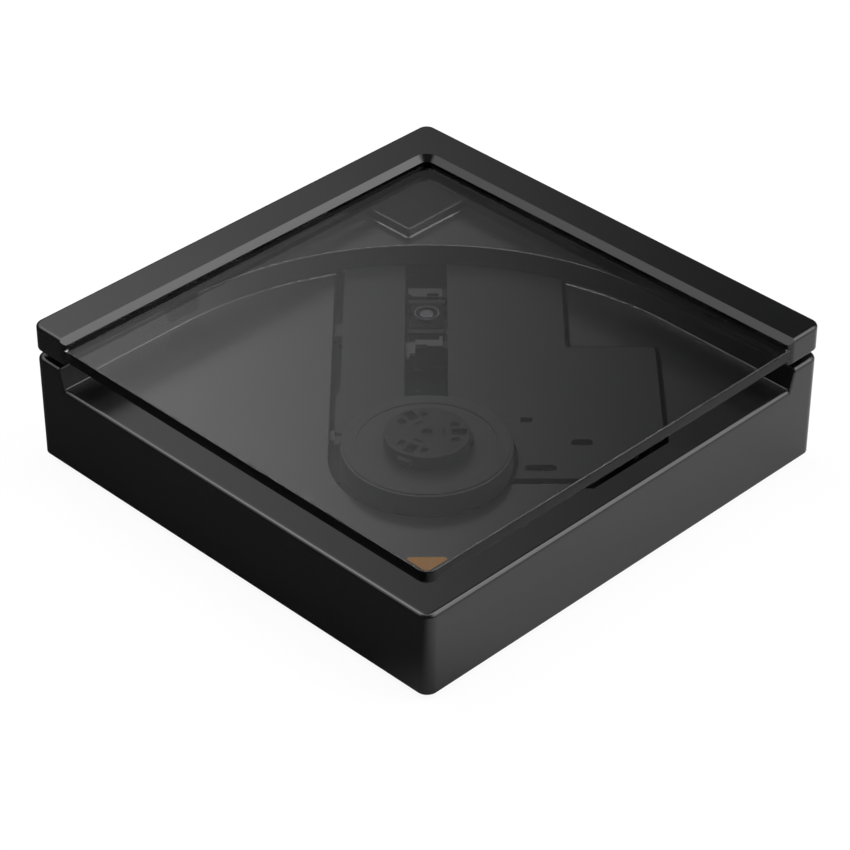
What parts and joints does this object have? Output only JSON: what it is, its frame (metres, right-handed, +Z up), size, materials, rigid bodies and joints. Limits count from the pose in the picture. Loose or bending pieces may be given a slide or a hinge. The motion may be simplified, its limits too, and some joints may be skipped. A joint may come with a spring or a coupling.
{
  "type": "wall mounted disc player",
  "caption": "Compact square disc player with a lift-off L-framed smoked lid over a spindle and laser sled that a disc overhangs on two open sides.",
  "frame": {"origin": "on the surface that the feet stand on, under the middle of the square housing", "axes": "+Z up, -Y the front open side, -X the left open side; the lid's frame runs along the rear (+Y) and the right (+X)"},
  "size_m": [0.1, 0.1, 0.0288],
  "materials": {
    "housing_black": "satin moulded black with a fine grain",
    "cover_black": "matt textured black",
    "lid_black": "satin moulded black",
    "smoked_window": "clear smoke-tinted plate with polished edges",
    "mark_orange": "muted orange print",
    "black_steel": "black oxide steel",
    "bright_steel": "turned bright steel",
    "foot_rubber": "matt rubber",
    "seal_rubber": "soft matt rubber",
    "damper_rubber": "soft rubber",
    "magnet_nickel": "nickel plated",
    "bezel_black": "gloss black with a light rim",
    "display_glass": "gloss black panel, dark when off",
    "display_dark": "dark module",
    "board_resin": "green solder resist",
    "chip_black": "moulded epoxy",
    "battery_wrap": "grey film wrap",
    "foam_pad": "closed-cell foam",
    "port_steel": "drawn steel",
    "jack_black": "moulded black",
    "deck_black": "black painted sheet",
    "chassis_steel": "zinc plated sheet",
    "stator_steel": "coated laminations",
    "coil_copper": "enamelled copper wire",
    "turntable_black": "black painted steel",
    "hub_black": "moulded black",
    "sled_black": "glass-filled black resin",
    "pickup_steel": "dull bright sheet",
    "holder_black": "moulded black",
    "lens_glass": "coated moulded lens",
    "key_black": "satin moulded black"
  },
  "bodies": {
    "root": {"base_shell": "housing_black", "bottom_cover": "cover_black", "cover_screws": "black_steel", "feet": "foot_rubber", "seam_gasket": "seal_rubber", "base_magnets": "magnet_nickel", "display_bezel": "bezel_black", "display_window": "display_glass", "display_module": "display_dark", "main_board": "board_resin", "board_screws": "bright_steel", "board_chips": "chip_black", "battery_pack": "battery_wrap", "battery_pad": "foam_pad", "usb_c_port": "port_steel", "headphone_jack": "jack_black", "line_jack": "jack_black", "button_board": "board_resin", "tact_switches": "port_steel", "deck_plate": "deck_black", "deck_pillars": "bright_steel", "mech_chassis": "chassis_steel", "damper_bushes": "damper_rubber", "damper_screws": "bright_steel", "guide_rods": "bright_steel", "motor_base": "chassis_steel", "stator_core": "stator_steel", "stator_coils": "coil_copper", "sled_motor": "chassis_steel"},
    "lid": {"lid_frame": "lid_black", "lid_window": "smoked_window", "lift_mark": "mark_orange", "lid_magnets": "magnet_nickel"},
    "spindle": {"turntable": "turntable_black", "turntable_pad": "seal_rubber", "rotor_magnet": "magnet_nickel", "spindle_shaft": "bright_steel", "spindle_hub": "hub_black"},
    "claw_1": {"hub_claw_1": "hub_black"},
    "claw_2": {"hub_claw_2": "hub_black"},
    "claw_3": {"hub_claw_3": "hub_black"},
    "sled": {"pickup_sled": "sled_black", "actuator_yoke": "chassis_steel", "pickup_plates": "pickup_steel", "pickup_spring": "pickup_steel"},
    "lens": {"lens_holder": "holder_black", "objective_lens": "lens_glass"},
    "screw": {"lead_screw": "bright_steel"},
    "volume_down_key": {"volume_down_button": "key_black"},
    "previous_key": {"previous_button": "key_black"},
    "play_key": {"play_button": "key_black"},
    "next_key": {"next_button": "key_black"},
    "volume_up_key": {"volume_up_button": "key_black"}
  },
  "joints": [
    {"name": "lid_lift", "type": "slide", "parent": "root", "child": "lid", "axis": [0, 0, 1], "range_m": [0, 0.06]},
    {"name": "disc_spin", "type": "hinge", "parent": "root", "child": "spindle", "pos_m": [-0.0198, -0.0198, 0.0205], "axis": [0, 0, 1], "continuous": true},
    {"name": "sled_slide", "type": "slide", "parent": "root", "child": "sled", "axis": [0.7071, 0.7071, 0], "range_m": [-0.0239, 0.0113]},
    {"name": "lens_focus", "type": "slide", "parent": "sled", "child": "lens", "axis": [0, 0, 1], "range_m": [-0.0004, 0.0004], "stiffness_N_per_m": 60},
    {"name": "screw_turn", "type": "hinge", "parent": "root", "child": "screw", "pos_m": [0.01131, -0.01131, 0.0142], "axis": [0.7071, 0.7071, 0], "range_deg": [-4310, 2040]},
    {"name": "claw_1_press", "type": "slide", "parent": "spindle", "child": "claw_1", "axis": [-0.7071, 0.7071, 0], "range_m": [0, 0.0009], "stiffness_N_per_m": 120},
    {"name": "claw_2_press", "type": "slide", "parent": "spindle", "child": "claw_2", "axis": [-0.2588, -0.9659, 0], "range_m": [0, 0.0009], "stiffness_N_per_m": 120},
    {"name": "claw_3_press", "type": "slide", "parent": "spindle", "child": "claw_3", "axis": [0.9659, 0.2588, 0], "range_m": [0, 0.0009], "stiffness_N_per_m": 120},
    {"name": "volume_down_press", "type": "slide", "parent": "root", "child": "volume_down_key", "axis": [-1, 0, 0], "range_m": [0, 0.00035], "stiffness_N_per_m": 700},
    {"name": "previous_press", "type": "slide", "parent": "root", "child": "previous_key", "axis": [-1, 0, 0], "range_m": [0, 0.00035], "stiffness_N_per_m": 700},
    {"name": "play_press", "type": "slide", "parent": "root", "child": "play_key", "axis": [-1, 0, 0], "range_m": [0, 0.00035], "stiffness_N_per_m": 700},
    {"name": "next_press", "type": "slide", "parent": "root", "child": "next_key", "axis": [-1, 0, 0], "range_m": [0, 0.00035], "stiffness_N_per_m": 700},
    {"name": "volume_up_press", "type": "slide", "parent": "root", "child": "volume_up_key", "axis": [-1, 0, 0], "range_m": [0, 0.00035], "stiffness_N_per_m": 700}
  ],
  "couplings": [
    {"joint": "screw_turn", "follows": "sled_slide", "rad_per_m": 3141.6}
  ]
}
